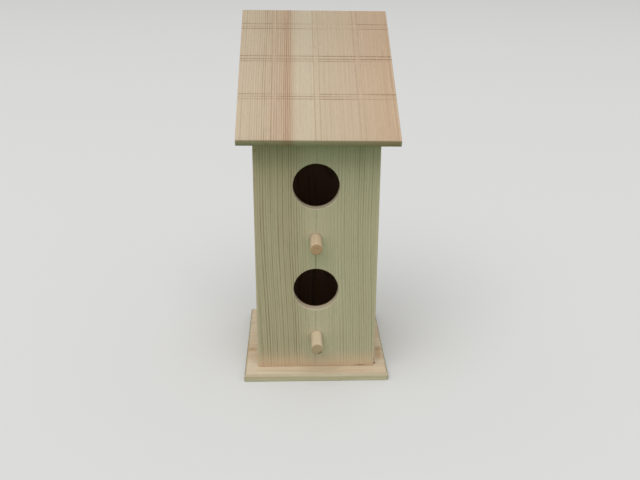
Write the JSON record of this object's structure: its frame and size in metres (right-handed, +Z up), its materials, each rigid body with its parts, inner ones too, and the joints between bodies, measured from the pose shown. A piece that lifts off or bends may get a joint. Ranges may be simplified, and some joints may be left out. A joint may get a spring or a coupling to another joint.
{
  "type": "two-story birdhouse",
  "caption": "Tall square pine birdhouse with an entrance hole and dowel perch on each storey, a sloping scored roof board and a rounded base plate.",
  "frame": {"origin": "middle of the base plate's underside, level with the surface it stands on", "axes": "+Z up, -Y out of the front with the entrances, +X to the right seen from the front"},
  "size_m": [0.1258, 0.1451, 0.2976],
  "materials": {
    "plate_pine": "sanded bare wood",
    "front_pine": "sanded bare wood",
    "back_pine": "sanded bare wood",
    "side_pine": "sanded bare wood",
    "floor_pine": "sawn bare wood",
    "roof_pine": "sanded bare wood",
    "dowel_birch": "smooth bare wood",
    "brad_steel": "galvanised"
  },
  "bodies": {
    "root": {"base_plate": "plate_pine", "front_wall": "front_pine", "back_wall": "back_pine", "left_wall": "side_pine", "right_wall": "side_pine", "storey_floor": "floor_pine", "roof_board": "roof_pine", "lower_perch": "dowel_birch", "upper_perch": "dowel_birch", "base_brads": "brad_steel", "back_brads": "brad_steel", "side_brads": "brad_steel"}
  },
  "joints": []
}
